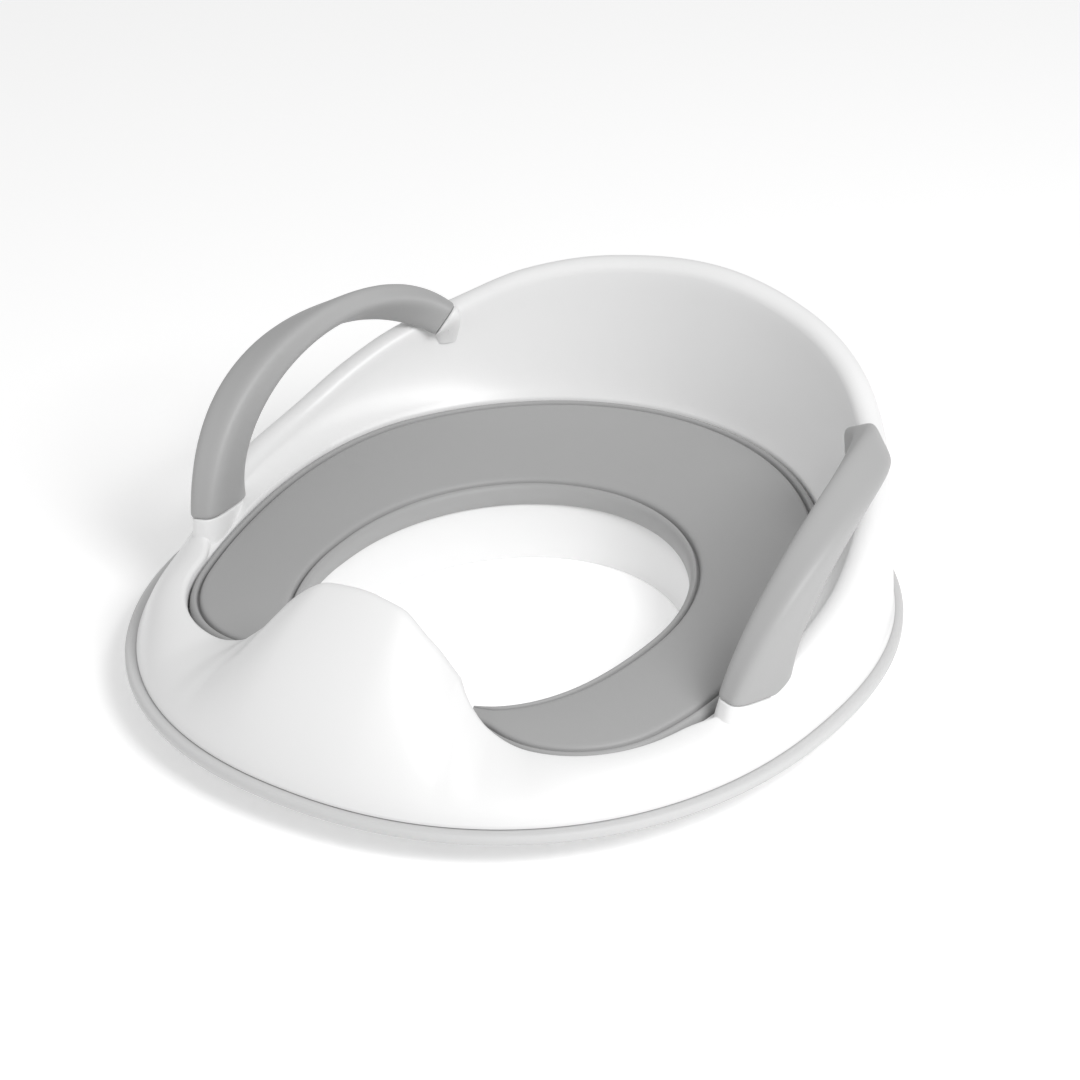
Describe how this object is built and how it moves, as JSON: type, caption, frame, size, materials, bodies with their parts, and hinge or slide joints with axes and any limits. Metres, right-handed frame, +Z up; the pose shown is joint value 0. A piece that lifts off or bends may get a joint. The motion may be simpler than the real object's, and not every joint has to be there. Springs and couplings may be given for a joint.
{
  "type": "potty training chair",
  "caption": "Toddler's toilet training seat: white shell with backrest, splash guard and arched soft-grip handles, a lift-out horseshoe cushion and an anti-slip rim.",
  "frame": {"origin": "under the middle of the seat, at the level of the skirt's lower edge", "axes": "+X to the right side as seen from the splash guard, +Y from the splash guard to the backrest, +Z up"},
  "size_m": [0.35, 0.378, 0.1291],
  "materials": {
    "white_plastic": "satin",
    "rim_rubber": "matte",
    "cushion_foam": "satin",
    "grip_rubber": "satin",
    "carrier_plastic": "moulded",
    "steel": "plated"
  },
  "bodies": {
    "seat": {"body_shell": "white_plastic", "base_shell": "white_plastic", "anti_slip_rim": "rim_rubber", "left_grip": "grip_rubber", "left_handle_core": "white_plastic", "left_handle_screw_1": "steel", "left_handle_screw_2": "steel", "right_grip": "grip_rubber", "right_handle_core": "white_plastic", "right_handle_screw_1": "steel", "right_handle_screw_2": "steel", "base_screw_1": "steel", "base_screw_2": "steel", "base_screw_3": "steel", "base_screw_4": "steel", "base_screw_5": "steel", "base_screw_6": "steel", "base_screw_7": "steel", "base_screw_8": "steel"},
    "cushion": {"cushion_pad": "cushion_foam", "cushion_carrier": "carrier_plastic"}
  },
  "joints": [
    {"name": "cushion_lift", "type": "slide", "parent": "seat", "child": "cushion", "axis": [0, 0, 1], "range_m": [0, 0.12]}
  ]
}
